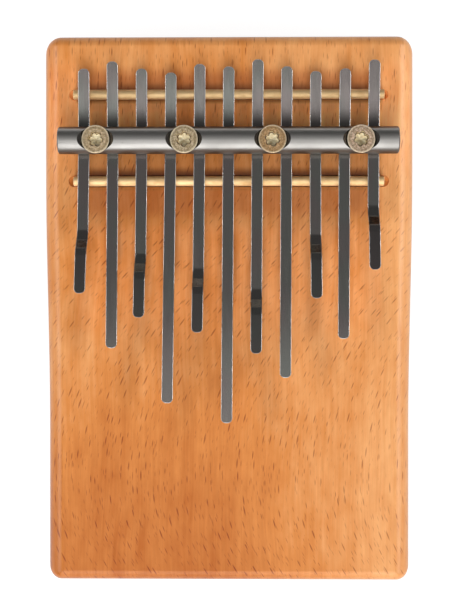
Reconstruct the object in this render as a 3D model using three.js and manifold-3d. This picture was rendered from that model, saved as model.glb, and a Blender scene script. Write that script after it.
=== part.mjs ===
// Kalimba with eleven steel tines on a hollow beech sound box.
// Millimetres, +Z up. The instrument lies on its back, with its tine tails towards +Y and its
// playing ends towards -Y. The origin is in the middle of the surface that it lies on.
// Pieces that touch on the real object keep one seat gap between them here.
import * as THREE from "three";
import { mergeVertices } from "three/addons/utils/BufferGeometryUtils.js";
import Module from "manifold-3d";

const wasm = await Module();
wasm.setup();

// Sound box: outer sizes.
const boxLength = 171.3;
const rearWidth = 116.4;
const gripWidth = 113.8;
const boxDepth = 30;
const taperStartFromRear = 39;
const taperEndFromRear = 120;
const rearCornerRadius = 5.3;
const frontCornerRadius = 4.3;
const faceSideRoundover = 5.5;
const faceEndRoundover = 3.7;
const backRoundover = 3;
const leastCornerRadius = 0.2;

// Sound box: chamber, back plate and the two finger holes in the plate.
const backPlateThickness = 4;
const soundboardThickness = 6;
const chamberSideWall = 10;
const chamberFrontWall = 11;
const bridgeBlockLength = 57.6;
const chamberCornerRadius = 12;
const fingerHoleDiameter = 12;
const fingerHoleSpacing = 56;
const fingerHoleFromFront = 64.65;
const fingerHoleRimRadius = 1.5;

// Places along the box of the pressure bar and the two bridge rods.
const barFromRear = 34.05;
const barToFrontBridge = 11.9;
const barToRearBridge = 15.1;

// Bridge rods of brass, laid in round-bottomed grooves. The rear one stands a little higher.
const rodDiameter = 3.1;
const rodEndMargin = 9.7;
const rodEndChamfer = 0.3;
const frontRodProud = 1.8;
const rearRodProud = 2.4;
const grooveEndRoom = 1.6;

// Pressure bar of steel, held down by four countersunk screws between the tines.
const barDiameter = 8.4;
const barEndMargin = 5.95;
const barEndChamfer = 0.6;
const screwDiameter = 4.5;
const screwLength = 25;
const screwPointLength = 5;
const screwHeadDiameter = 8.6;
const screwHeadRim = 0.3;
const screwHeadSink = 0.85;
const socketDiameter = 3.95;
const socketLobeDepth = 0.55;
const socketDepth = 2;
const screwPitchCounts = [-4.5, -1.5, 1.5, 4.5];

// Tines: spring steel strips, pressed down between the bridges so that both ends rise a little.
// They are spread evenly over the rods, whose ends stick out a little past the outer two. The press
// depth is how far below its level on the front bridge a tine passes under the bar.
const rodPastOuterTine = 3.5;
const tineWidth = 3.5;
const tineThickness = 1.2;
const tineEndRadius = 1.4;
const tineEdgeBreak = 0.15;
const tinePressDepth = 0.48;
const longestTipReach = 74.9;
const longestTailReach = 10.1;
const tipReachShares = [0.469, 0.694, 0.567, 0.919, 0.628, 1, 0.713, 0.815, 0.489, 0.655, 0.373];
const tailReachShares = [0.73, 0.948, 0.728, 0.61, 0.864, 0.788, 1, 0.788, 0.641, 0.718, 0.984];
const leanDegrees = [0.4, 0.1, 0.3, 0.6, 0.45, 0.35, 0.45, 0.35, 0.1, 0.5, 0.45];

// Every second tine, from the first, has its tip raised by an S-shaped bend.
const bendRise = 6.2;
const bendDegrees = 45;
const bendRadius = 6;
const raisedTipLength = 9.4;

// Clearance between pieces that touch, the slit where a tine passes over its bridge,
// and how far a cut runs past the surface that it opens.
const seatGap = 0.3;
const tineSlit = 0.3;
const overrun = 1;

// A bent strip between two supports follows a cubic curve with these two shares of its depth.
const beamLinearShare = 1.5;
const beamCubicShare = 0.5;

// Facet counts.
const cornerSteps = 6;
const taperSteps = 10;
const roundoverSteps = 6;
const roundSegments = 48;
const rodSegments = 24;
const screwSegments = 24;
const chamberCornerSegments = 8;
const turnSteps = 5;
const beamSteps = 3;
const tineEndSteps = 3;
const socketLobes = 6;
const socketPointsPerLobe = 6;

// Places worked out from the sizes above.
const rearY = boxLength / 2;
const frontY = -rearY;
const barY = rearY - barFromRear;
const frontBridgeY = barY - barToFrontBridge;
const rearBridgeY = barY + barToRearBridge;
const rodLength = rearWidth - 2 * rodEndMargin;
const barLength = rearWidth - 2 * barEndMargin;
const tinePitch = (rodLength - 2 * rodPastOuterTine) / (tipReachShares.length - 1);
const tineLevelOnFrontRod = frontRodProud + seatGap + tineThickness / 2;
const tineLevelOnRearRod = rearRodProud + seatGap + tineThickness / 2;
const tineLevelAtBar = tineLevelOnFrontRod - tinePressDepth;
const barAxisZ = boxDepth + tineLevelAtBar + tineThickness / 2 + seatGap + barDiameter / 2;
const screwTopZ = barAxisZ + barDiameter / 2 - screwHeadSink;
const screwTipZ = screwTopZ - screwLength;
const conicalGap = seatGap * Math.SQRT2;

const beech = new THREE.MeshStandardMaterial({ color: 0xd9955f, roughness: 0.55, metalness: 0 });
const beechBack = new THREE.MeshStandardMaterial({ color: 0xcf8d5a, roughness: 0.6, metalness: 0 });
const brass = new THREE.MeshStandardMaterial({ color: 0xe0bb78, roughness: 0.3, metalness: 1 });
const barSteel = new THREE.MeshStandardMaterial({ color: 0xb9b4ae, roughness: 0.35, metalness: 1 });
const zincYellow = new THREE.MeshStandardMaterial({ color: 0xc4ad85, roughness: 0.4, metalness: 1 });
const springSteel = new THREE.MeshStandardMaterial({ color: 0x8c8883, roughness: 0.35, metalness: 1 });

// A closed skin through rings of points, each ring running anticlockwise when seen from the last.
// The first and the last ring are closed by a fan round their middle.
function loft(rings) {
  const ringSize = rings[0].length;
  const positions = rings.flat().flatMap((point) => point.toArray());
  const triangles = [];
  const corner = (ring, place) => ring * ringSize + (place % ringSize);
  for (let ring = 0; ring < rings.length - 1; ring += 1) {
    for (let place = 0; place < ringSize; place += 1) {
      triangles.push(corner(ring, place), corner(ring, place + 1), corner(ring + 1, place + 1));
      triangles.push(corner(ring, place), corner(ring + 1, place + 1), corner(ring + 1, place));
    }
  }
  const firstMiddle = positions.length / 3;
  for (const ends of [rings[0], rings[rings.length - 1]]) {
    const middle = ends.reduce((sum, point) => sum.add(point), new THREE.Vector3());
    positions.push(...middle.divideScalar(ringSize).toArray());
  }
  const lastRing = rings.length - 1;
  for (let place = 0; place < ringSize; place += 1) {
    triangles.push(firstMiddle, corner(0, place + 1), corner(0, place));
    triangles.push(firstMiddle + 1, corner(lastRing, place), corner(lastRing, place + 1));
  }
  const geometry = new THREE.BufferGeometry();
  geometry.setAttribute("position", new THREE.Float32BufferAttribute(positions, 3));
  geometry.setIndex(triangles);
  geometry.computeVertexNormals();
  return geometry;
}

// A geometry as a solid that can be cut: only places kept, shared corners merged, slivers dropped.
function solidOf(geometry) {
  const bare = geometry.clone();
  bare.deleteAttribute("normal");
  bare.deleteAttribute("uv");
  const merged = mergeVertices(bare);
  const corners = merged.index.array;
  const kept = [];
  for (let at = 0; at < corners.length; at += 3) {
    const [a, b, c] = [corners[at], corners[at + 1], corners[at + 2]];
    if (a !== b && b !== c && c !== a) {
      kept.push(a, b, c);
    }
  }
  return new wasm.Manifold(new wasm.Mesh({
    numProp: 3,
    vertProperties: Float32Array.from(merged.attributes.position.array),
    triVerts: Uint32Array.from(kept),
  }));
}

// A solid back as a geometry.
function geometryOf(solid) {
  const mesh = solid.getMesh();
  const geometry = new THREE.BufferGeometry();
  geometry.setAttribute("position", new THREE.Float32BufferAttribute(mesh.vertProperties, 3));
  geometry.setIndex(Array.from(mesh.triVerts));
  geometry.computeVertexNormals();
  return geometry;
}

// A geometry with all the given cutters taken out of it.
function cutBy(geometry, cutters) {
  let solid = solidOf(geometry);
  for (const cutter of cutters) {
    solid = solid.subtract(solidOf(cutter));
  }
  return geometryOf(solid);
}

// A turned piece about +Z from (radius, height) pairs, listed from the lowest to the highest.
function turned(profile, segments) {
  const points = profile.map(([radius, height]) => new THREE.Vector2(radius, height));
  return new THREE.LatheGeometry(points, segments).rotateX(Math.PI / 2);
}

// Half the width of the box at a place along it: it eases in from the rear to the grip.
function halfWidthAt(y) {
  const rearShare = THREE.MathUtils.smoothstep(y, rearY - taperEndFromRear, rearY - taperStartFromRear);
  return THREE.MathUtils.lerp(gripWidth, rearWidth, rearShare) / 2;
}

// The outline of the box in plan at one height, drawn in from the sides and from the two ends.
function boxRing(z, sideInset, endInset) {
  const ring = [];
  const addCorner = (signX, signY, radius, halfWidth, startAngle) => {
    const radiusX = Math.max(radius - sideInset, leastCornerRadius);
    const radiusY = Math.max(radius - endInset, leastCornerRadius);
    const middleX = signX * (halfWidth - sideInset - radiusX);
    const middleY = signY * (rearY - endInset - radiusY);
    for (let step = 0; step <= cornerSteps; step += 1) {
      const angle = startAngle + (Math.PI / 2) * (step / cornerSteps);
      const x = middleX + radiusX * Math.cos(angle);
      const y = middleY + radiusY * Math.sin(angle);
      ring.push(new THREE.Vector3(x, y, z));
    }
  };
  const addSide = (signX) => {
    for (let step = 0; step <= taperSteps; step += 1) {
      const share = signX < 0 ? step / taperSteps : 1 - step / taperSteps;
      const y = rearY - THREE.MathUtils.lerp(taperStartFromRear, taperEndFromRear, share);
      ring.push(new THREE.Vector3(signX * (halfWidthAt(y) - sideInset), y, z));
    }
  };
  addCorner(1, 1, rearCornerRadius, rearWidth / 2, 0);
  addCorner(-1, 1, rearCornerRadius, rearWidth / 2, Math.PI / 2);
  addSide(-1);
  addCorner(-1, -1, frontCornerRadius, gripWidth / 2, Math.PI);
  addCorner(1, -1, frontCornerRadius, gripWidth / 2, -Math.PI / 2);
  addSide(1);
  return ring;
}

// How far a quarter-round edge has drawn in at a depth below the face that it runs into.
function roundoverInset(radius, depth) {
  const rise = Math.max(radius - depth, 0);
  return radius - Math.sqrt(radius * radius - rise * rise);
}

// The depths below a face at which a quarter-round edge gets a ring, from its foot to the face.
function roundoverDepths(radius, steps) {
  const depths = [];
  for (let step = 0; step <= steps; step += 1) {
    depths.push(radius * (1 - Math.sin((Math.PI / 2) * (step / steps))));
  }
  return depths;
}

// The two bridge rods: where each lies along the box and how high its axis is.
const rods = [
  { name: "front_bridge_rod", y: frontBridgeY, axisZ: boxDepth + frontRodProud - rodDiameter / 2 },
  { name: "rear_bridge_rod", y: rearBridgeY, axisZ: boxDepth + rearRodProud - rodDiameter / 2 },
];

// A slot cutter with ball ends along X, for a rod that lies in it with the seat gap all round.
function rodGroove({ y, axisZ }) {
  const radius = rodDiameter / 2 + seatGap;
  const straight = rodLength + 2 * grooveEndRoom - 2 * radius;
  const groove = new THREE.CapsuleGeometry(radius, straight, turnSteps, rodSegments);
  return groove.rotateZ(Math.PI / 2).translate(0, y, axisZ);
}

// The hole for one screw, pointed at its lower end like the screw.
function screwHole(x, topZ) {
  const radius = screwDiameter / 2 + seatGap;
  const tipZ = screwTipZ - seatGap;
  const hole = turned([[0, tipZ], [radius, tipZ + screwPointLength], [radius, topZ], [0, topZ]], screwSegments);
  return hole.translate(x, barY, 0);
}

// The chamber, milled from behind with a round cutter: solid wood stays under the bridges.
function chamberCutter() {
  const halfWidth = gripWidth / 2 - chamberSideWall;
  const low = frontY + chamberFrontWall;
  const high = rearY - bridgeBlockLength;
  const radius = chamberCornerRadius;
  const outline = new THREE.Shape();
  outline.absarc(halfWidth - radius, high - radius, radius, 0, Math.PI / 2);
  outline.absarc(radius - halfWidth, high - radius, radius, Math.PI / 2, Math.PI);
  outline.absarc(radius - halfWidth, low + radius, radius, Math.PI, Math.PI * 1.5);
  outline.absarc(halfWidth - radius, low + radius, radius, -Math.PI / 2, 0);
  const depth = boxDepth - soundboardThickness - backPlateThickness + overrun;
  const options = { depth, bevelEnabled: false, curveSegments: chamberCornerSegments };
  return new THREE.ExtrudeGeometry(outline, options).translate(0, 0, backPlateThickness - overrun);
}

const screwPlaces = screwPitchCounts.map((count) => count * tinePitch);

// The body: one piece of beech with rounded edges, hollowed from behind.
function soundBoxBody() {
  const rings = [boxRing(backPlateThickness, 0, 0)];
  for (const depth of roundoverDepths(faceSideRoundover, roundoverSteps)) {
    const sideInset = roundoverInset(faceSideRoundover, depth);
    const endInset = roundoverInset(faceEndRoundover, depth);
    rings.push(boxRing(boxDepth - depth, sideInset, endInset));
  }
  const holes = screwPlaces.map((x) => screwHole(x, boxDepth + overrun));
  return cutBy(loft(rings), [chamberCutter(), ...rods.map(rodGroove), ...holes]);
}

// A finger hole through the back plate, with both rims rounded over.
function fingerHole(x) {
  const radius = fingerHoleDiameter / 2;
  const profile = [[0, -overrun], [radius + fingerHoleRimRadius, -overrun]];
  for (const depth of roundoverDepths(fingerHoleRimRadius, roundoverSteps).reverse()) {
    profile.push([radius + roundoverInset(fingerHoleRimRadius, depth), depth]);
  }
  profile.push([radius, backPlateThickness + overrun], [0, backPlateThickness + overrun]);
  return turned(profile, rodSegments).translate(x, frontY + fingerHoleFromFront, 0);
}

// The back plate: a thin board glued on behind, with its outer edge rounded.
function backPlate() {
  const rings = [boxRing(backPlateThickness, 0, 0)];
  for (const depth of roundoverDepths(backRoundover, roundoverSteps)) {
    const inset = roundoverInset(backRoundover, depth);
    rings.push(boxRing(depth, inset, inset));
  }
  const holes = [-fingerHoleSpacing / 2, fingerHoleSpacing / 2].map((x) => fingerHole(x));
  return cutBy(loft(rings.reverse()), holes);
}

// A round bar along X with its two ends chamfered.
function roundBar(diameter, length, chamfer, segments) {
  const radius = diameter / 2;
  const half = length / 2;
  const profile = [
    [0, -half],
    [radius - chamfer, -half],
    [radius, chamfer - half],
    [radius, half - chamfer],
    [radius - chamfer, half],
    [0, half],
  ];
  return turned(profile, segments).rotateY(Math.PI / 2);
}

// The pressure bar: a round bar with four holes, each countersunk for its screw head.
function pressureBar() {
  const holeRadius = screwDiameter / 2 + seatGap;
  const headRadius = screwHeadDiameter / 2 + conicalGap;
  const crown = barDiameter / 2 + overrun;
  const mouthRadius = headRadius + screwHeadSink + overrun;
  const coneFoot = crown - (mouthRadius - holeRadius);
  const profile = [[0, -crown], [holeRadius, -crown], [holeRadius, coneFoot], [mouthRadius, crown], [0, crown]];
  const holes = screwPlaces.map((x) => turned(profile, screwSegments).translate(x, 0, 0));
  return cutBy(roundBar(barDiameter, barLength, barEndChamfer, roundSegments), holes);
}

// The six-lobed recess of a screw head, as an outline that swells and narrows round a circle.
function socketCutter() {
  const meanRadius = socketDiameter / 2 - socketLobeDepth / 2;
  const outline = [];
  for (let step = 0; step < socketLobes * socketPointsPerLobe; step += 1) {
    const angle = (2 * Math.PI * step) / (socketLobes * socketPointsPerLobe);
    const radius = meanRadius + (socketLobeDepth / 2) * Math.cos(socketLobes * angle);
    outline.push(new THREE.Vector2(radius * Math.cos(angle), radius * Math.sin(angle)));
  }
  const options = { depth: socketDepth + overrun, bevelEnabled: false };
  return new THREE.ExtrudeGeometry(new THREE.Shape(outline), options).translate(0, 0, -socketDepth);
}

// One countersunk wood screw, its flat top at height zero.
function woodScrew() {
  const shank = screwDiameter / 2;
  const head = screwHeadDiameter / 2;
  const profile = [
    [0, -screwLength],
    [shank, screwPointLength - screwLength],
    [shank, shank - head - screwHeadRim],
    [head, -screwHeadRim],
    [head - screwHeadRim / 2, 0],
    [0, 0],
  ];
  return cutBy(turned(profile, screwSegments), [socketCutter()]);
}

// Height of a tine's middle above the face, at a distance in front of the bar (or behind, if less
// than zero): straight outside the bridges, a bent beam between them.
function clampedLevel(forward) {
  const span = forward < 0 ? barToRearBridge : barToFrontBridge;
  const levelOnRod = forward < 0 ? tineLevelOnRearRod : tineLevelOnFrontRod;
  const inward = (span - Math.abs(forward)) / span;
  const cubic = beamCubicShare * Math.max(inward, 0) ** 3;
  return levelOnRod - (levelOnRod - tineLevelAtBar) * (beamLinearShare * inward - cubic);
}

// A line bent as a strip is in a press: straight runs and turns, from a place and a heading.
function bentLine(start, startHeading, moves) {
  const points = [start];
  let heading = startHeading;
  for (const { length, turn } of moves) {
    const steps = turn ? turnSteps : 1;
    const stepTurn = turn ? turn / steps : 0;
    const stepLength = turn ? 2 * bendRadius * Math.sin(Math.abs(stepTurn) / 2) : length;
    for (let step = 0; step < steps; step += 1) {
      heading += stepTurn / 2;
      const stride = new THREE.Vector2(Math.cos(heading), Math.sin(heading)).multiplyScalar(stepLength);
      points.push(points[points.length - 1].clone().add(stride));
      heading += stepTurn / 2;
    }
  }
  return points;
}

// The middle line of a tine's tongue, from its bridge to its tip, as (forward, height) points.
function tongueLine(reach, raised) {
  const slope = Math.atan((beamLinearShare * tinePressDepth) / barToFrontBridge);
  const startForward = barToFrontBridge + tineSlit / 2;
  const start = new THREE.Vector2(startForward, clampedLevel(startForward));
  if (!raised) {
    return bentLine(start, slope, [{ length: (reach - tineSlit / 2) / Math.cos(slope) }]);
  }
  const turn = THREE.MathUtils.degToRad(bendDegrees);
  const climb = (bendRise - 2 * bendRadius * (1 - Math.cos(turn))) / Math.sin(turn);
  const bendRun = 2 * bendRadius * Math.sin(turn) + climb * Math.cos(turn);
  const wholeRun = (reach - tineSlit / 2 + bendRise * Math.sin(slope)) / Math.cos(slope);
  return bentLine(start, slope, [
    { length: wholeRun - bendRun - raisedTipLength },
    { turn },
    { length: climb },
    { turn: -turn },
    { length: raisedTipLength },
  ]);
}

// The middle line of the clamped stretch, from the front bridge back under the bar and over the
// rear bridge to the tail.
function stemLine(tailReach) {
  const places = [barToFrontBridge - tineSlit / 2];
  for (let step = beamSteps - 1; step >= 0; step -= 1) {
    places.push(barToFrontBridge * (step / beamSteps));
  }
  for (let step = 1; step <= beamSteps; step += 1) {
    places.push(-barToRearBridge * (step / beamSteps));
  }
  places.push(-barToRearBridge - tailReach);
  return places.map((forward) => new THREE.Vector2(forward, clampedLevel(forward)));
}

// The direction of a line at one of its points, from the point before it to the point after it.
function headingAt(line, at) {
  const before = line[Math.max(at - 1, 0)];
  const after = line[Math.min(at + 1, line.length - 1)];
  return after.clone().sub(before).normalize();
}

// A flat strip with broken edges that follows a middle line. Its last end is rounded in plan.
function strip(line) {
  const last = line.length - 1;
  const endHeading = headingAt(line, last);
  const rings = line.slice(0, last).map((point, at) => {
    return stripRing(point, headingAt(line, at), tineWidth / 2);
  });
  for (const depth of roundoverDepths(tineEndRadius, tineEndSteps)) {
    const middle = line[last].clone().addScaledVector(endHeading, -depth);
    const halfWidth = tineWidth / 2 - roundoverInset(tineEndRadius, depth);
    rings.push(stripRing(middle, endHeading, halfWidth));
  }
  return loft(rings);
}

// One cross-section of a strip, eight-sided for its broken edges, square to its heading.
function stripRing(middle, heading, halfWidth) {
  const halfThickness = tineThickness / 2;
  const flatWidth = halfWidth - tineEdgeBreak;
  const flatThickness = halfThickness - tineEdgeBreak;
  const corners = [
    [halfWidth, -flatThickness],
    [halfWidth, flatThickness],
    [flatWidth, halfThickness],
    [-flatWidth, halfThickness],
    [-halfWidth, flatThickness],
    [-halfWidth, -flatThickness],
    [-flatWidth, -halfThickness],
    [flatWidth, -halfThickness],
  ];
  return corners.map(([across, up]) => {
    const forward = middle.x - heading.y * up;
    const height = middle.y + heading.x * up;
    return new THREE.Vector3(across, -forward, height);
  });
}

const kalimba = new THREE.Group();

function addPiece(parent, name, geometry, material) {
  const piece = new THREE.Mesh(geometry, material.clone());
  piece.name = name;
  parent.add(piece);
  return piece;
}

addPiece(kalimba, "sound_box_body", soundBoxBody(), beech);
addPiece(kalimba, "back_plate", backPlate(), beechBack);

for (const { name, y, axisZ } of rods) {
  const rod = addPiece(kalimba, name, roundBar(rodDiameter, rodLength, rodEndChamfer, rodSegments), brass);
  rod.position.set(0, y, axisZ);
}

addPiece(kalimba, "pressure_bar", pressureBar(), barSteel).position.set(0, barY, barAxisZ);

screwPlaces.forEach((x, index) => {
  addPiece(kalimba, `bar_screw_${index + 1}`, woodScrew(), zincYellow).position.set(x, barY, screwTopZ);
});

tipReachShares.forEach((tipShare, index) => {
  const number = String(index + 1).padStart(2, "0");
  const tine = new THREE.Group();
  tine.position.set((index - (tipReachShares.length - 1) / 2) * tinePitch, barY, boxDepth);
  tine.rotation.z = -THREE.MathUtils.degToRad(leanDegrees[index]);
  kalimba.add(tine);
  const raised = index % 2 === 0;
  const stem = strip(stemLine(longestTailReach * tailReachShares[index]));
  const tongue = strip(tongueLine(longestTipReach * tipShare, raised));
  addPiece(tine, `tine_${number}_stem`, stem, springSteel);
  addPiece(tine, `tine_${number}_tongue`, tongue, springSteel);
});

export default kalimba;
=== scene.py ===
import math

import bmesh
import bpy
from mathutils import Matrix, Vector


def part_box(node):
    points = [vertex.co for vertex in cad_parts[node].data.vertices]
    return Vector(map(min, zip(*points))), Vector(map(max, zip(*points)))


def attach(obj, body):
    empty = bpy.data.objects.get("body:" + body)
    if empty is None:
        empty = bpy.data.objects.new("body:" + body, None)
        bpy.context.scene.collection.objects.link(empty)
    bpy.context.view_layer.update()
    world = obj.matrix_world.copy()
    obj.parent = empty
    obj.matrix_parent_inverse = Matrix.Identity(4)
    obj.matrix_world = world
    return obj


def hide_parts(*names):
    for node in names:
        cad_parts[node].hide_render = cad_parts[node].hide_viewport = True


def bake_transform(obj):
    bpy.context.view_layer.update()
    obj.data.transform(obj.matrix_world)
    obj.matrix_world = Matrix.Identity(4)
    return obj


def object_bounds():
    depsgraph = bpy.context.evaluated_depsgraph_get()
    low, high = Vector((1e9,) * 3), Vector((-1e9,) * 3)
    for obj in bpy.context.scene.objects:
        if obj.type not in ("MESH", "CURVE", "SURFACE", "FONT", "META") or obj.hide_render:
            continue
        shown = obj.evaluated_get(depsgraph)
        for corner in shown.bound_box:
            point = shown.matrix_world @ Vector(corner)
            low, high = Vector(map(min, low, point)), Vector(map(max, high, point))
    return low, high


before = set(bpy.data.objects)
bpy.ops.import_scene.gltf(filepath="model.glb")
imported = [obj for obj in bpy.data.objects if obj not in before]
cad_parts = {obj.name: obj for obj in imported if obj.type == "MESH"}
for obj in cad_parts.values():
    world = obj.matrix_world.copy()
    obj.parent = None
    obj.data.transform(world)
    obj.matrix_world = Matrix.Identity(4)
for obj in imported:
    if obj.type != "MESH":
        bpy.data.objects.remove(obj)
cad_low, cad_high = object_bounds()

# Camera: it looks down on the kalimba from 40 cm above its face, almost square to it but a little
# from the right, with the tails of the tines at the top of the picture.
face_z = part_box("sound_box_body")[1].z
camera_distance = 0.4
camera_lean = math.radians(0.9)
picture_middle = Vector((-0.00112, 0.00253, face_z))
picture_height_at_face = 0.18764

camera_way = Vector((math.sin(camera_lean), 0, math.cos(camera_lean)))
bpy.ops.object.camera_add(location=picture_middle + camera_distance * camera_way, rotation=(0, camera_lean, 0))
camera = bpy.context.object
camera.data.sensor_width = 36
camera.data.lens = camera.data.sensor_width * camera_distance / picture_height_at_face
bpy.context.scene.camera = camera
bpy.context.scene.view_settings.view_transform = "Standard"


# Floor: a wide plain sheet of white card. It is lit a little further for the eye, so that it is
# white where nothing shades it and keeps the soft shadow of the box.
floor_size = 40
floor_gap = 0.00002
floor_albedo = 0.3
floor_lift = 0.82
unlit_floor_from = 0.6
unlit_floor_to = 3.0


def shader_node(tree, kind, inputs, **settings):
    """Add a node, set what is given of its settings, and wire or set its inputs."""
    made = tree.nodes.new(kind)
    for name, value in settings.items():
        setattr(made, name, value)
    for key, value in inputs.items():
        if isinstance(value, bpy.types.NodeSocket):
            tree.links.new(value, made.inputs[key])
        else:
            made.inputs[key].default_value = value
    return made


bpy.ops.object.select_all(action="DESELECT")
bpy.ops.mesh.primitive_plane_add(size=floor_size, location=(0, 0, cad_low.z - floor_gap))
floor = bpy.context.object
floor.name = "white_card_floor"
card = bpy.data.materials.new("white_card")
card.use_nodes = True
card_tree = card.node_tree
card_tree.nodes.remove(card_tree.nodes["Principled BSDF"])
matte = shader_node(card_tree, "ShaderNodeBsdfDiffuse", {"Color": (floor_albedo, floor_albedo, floor_albedo, 1)})
ray = shader_node(card_tree, "ShaderNodeLightPath", {})
seen_or_mirrored = shader_node(
    card_tree,
    "ShaderNodeMath",
    {0: ray.outputs["Is Camera Ray"], 1: ray.outputs["Is Glossy Ray"]},
    operation="MAXIMUM",
)
seen = shader_node(
    card_tree, "ShaderNodeMath", {0: seen_or_mirrored.outputs[0], 1: ray.outputs["Is Transmission Ray"]},
    operation="MAXIMUM",
)
lift = shader_node(card_tree, "ShaderNodeMath", {0: seen.outputs[0], 1: floor_lift}, operation="MULTIPLY")
card_place = shader_node(card_tree, "ShaderNodeTexCoord", {})
card_distance = shader_node(
    card_tree, "ShaderNodeVectorMath", {0: card_place.outputs["Object"]}, operation="LENGTH"
)
far_lift = shader_node(
    card_tree,
    "ShaderNodeMapRange",
    {
        "Value": card_distance.outputs["Value"],
        "From Min": unlit_floor_from,
        "From Max": unlit_floor_to,
        "To Max": 1 - floor_lift,
    },
)
far_seen = shader_node(
    card_tree, "ShaderNodeMath", {0: ray.outputs["Is Camera Ray"], 1: far_lift.outputs[0]}, operation="MULTIPLY"
)
lift = shader_node(card_tree, "ShaderNodeMath", {0: lift.outputs[0], 1: far_seen.outputs[0]}, operation="ADD")
glow = shader_node(card_tree, "ShaderNodeEmission", {"Color": (1, 1, 1, 1), "Strength": lift.outputs[0]})
both = shader_node(card_tree, "ShaderNodeAddShader", {0: matte.outputs[0], 1: glow.outputs[0]})
card_tree.links.new(both.outputs[0], card_tree.nodes["Material Output"].inputs["Surface"])
floor.data.materials.append(card)


# Studio light: a long soft box over the playing end and a panel overhead, which the tails mirror.
# Two low strip lamps at the sides light the edges. The rest of the room is dim, most of all behind
# the tails, and only its floor is bright, but the camera sees a white backdrop everywhere.
room_level = 0.19
rear_room_level = 0.085
rear_starts_at = 0.24
rear_full_at = 0.42
horizon_level = 1.0
horizon_band_top = 0.0
room_starts_at = 0.05

world = bpy.data.worlds.new("studio")
bpy.context.scene.world = world
world.use_nodes = True
room = world.node_tree
direction = shader_node(room, "ShaderNodeTexCoord", {})
upward = shader_node(room, "ShaderNodeSeparateXYZ", {"Vector": direction.outputs["Generated"]})
dimmer = shader_node(
    room,
    "ShaderNodeMapRange",
    {
        "Value": upward.outputs["Y"],
        "From Min": rear_starts_at,
        "From Max": rear_full_at,
        "To Min": room_level,
        "To Max": rear_room_level,
    },
)
level = shader_node(
    room,
    "ShaderNodeMapRange",
    {
        "Value": upward.outputs["Z"],
        "From Min": horizon_band_top,
        "From Max": room_starts_at,
        "To Min": horizon_level,
        "To Max": dimmer.outputs[0],
    },
)
looked_at = shader_node(room, "ShaderNodeLightPath", {})
backdrop = shader_node(
    room, "ShaderNodeMath", {0: level.outputs[0], 1: looked_at.outputs["Is Camera Ray"]}, operation="MAXIMUM"
)
room.links.new(backdrop.outputs[0], room.nodes["Background"].inputs["Strength"])
room.nodes["Background"].inputs["Color"].default_value = (1, 1, 1, 1)


def soft_box(name, place, width, height, radiance):
    """A white rectangular lamp that faces the middle of the kalimba, as bright as its radiance says."""
    bpy.ops.object.light_add(type="AREA", location=place)
    lamp = bpy.context.object
    lamp.name = name
    lamp.data.shape = "RECTANGLE"
    lamp.data.size = width
    lamp.data.size_y = height
    lamp.data.energy = radiance * math.pi * width * height
    lamp.visible_camera = False
    aim = Vector((0, 0, face_z)) - Vector(place)
    lamp.rotation_euler = aim.to_track_quat("-Z", "Y").to_euler()
    return lamp


soft_box("front_soft_box", (0, -1.795, 1.166), 1.7, 1.82, 3.35)
soft_box("top_panel", (0, -0.65, 2.0), 1.9, 1.16, 1.3)
soft_box("top_panel_rim", (0, -0.06, 2.16), 1.9, 0.08, 0.24)
soft_box("pale_ceiling", (0, 0.09, 2.16), 1.9, 0.18, 0.245)
soft_box("left_strip", (-1.86, 0.12, 0.97), 1.6, 0.38, 11.6)
soft_box("right_strip", (1.86, 0.12, 0.97), 1.6, 0.38, 13.6)


# Sound box body: one block of oiled beech. Its sides draw in towards the grip, its face is rounded
# over with a router, two round-bottomed grooves take the bridge rods, and it is hollowed from behind.
body_low, body_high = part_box("sound_box_body")
rear_width = body_high.x - body_low.x
box_length = body_high.y - body_low.y
grip_width = 0.1138
taper_start_from_rear = 0.039
taper_end_from_rear = 0.120
rear_corner_radius = 0.0053
front_corner_radius = 0.0043
least_corner_radius = 0.0002
face_side_roundover = 0.0055
face_end_roundover = 0.0037
face_edge = math.radians(13)
seam_chamfer = 0.00025
roundover_steps = 10
side_cuts = 40
corner_segments = 10


def deselect():
    bpy.ops.object.select_all(action="DESELECT")


def edit(piece):
    """Open one piece alone in edit mode."""
    if bpy.context.object and bpy.context.object.mode == "EDIT":
        bpy.ops.object.mode_set(mode="OBJECT")
    deselect()
    piece.select_set(True)
    bpy.context.view_layer.objects.active = piece
    bpy.ops.object.mode_set(mode="EDIT")


def done():
    bpy.ops.object.mode_set(mode="OBJECT")


def pick(piece, kind, wanted):
    """In edit mode, select the vertices, edges or faces that are wanted."""
    bpy.ops.mesh.select_mode(type={"verts": "VERT", "edges": "EDGE", "faces": "FACE"}[kind])
    bpy.ops.mesh.select_all(action="DESELECT")
    shape = bmesh.from_edit_mesh(piece.data)
    for part in getattr(shape, kind):
        if wanted(part):
            part.select_set(True)
    bmesh.update_edit_mesh(piece.data)


def edge_middle(edge):
    return (edge.verts[0].co + edge.verts[1].co) / 2


def edge_run(edge):
    return edge.verts[1].co - edge.verts[0].co


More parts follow.
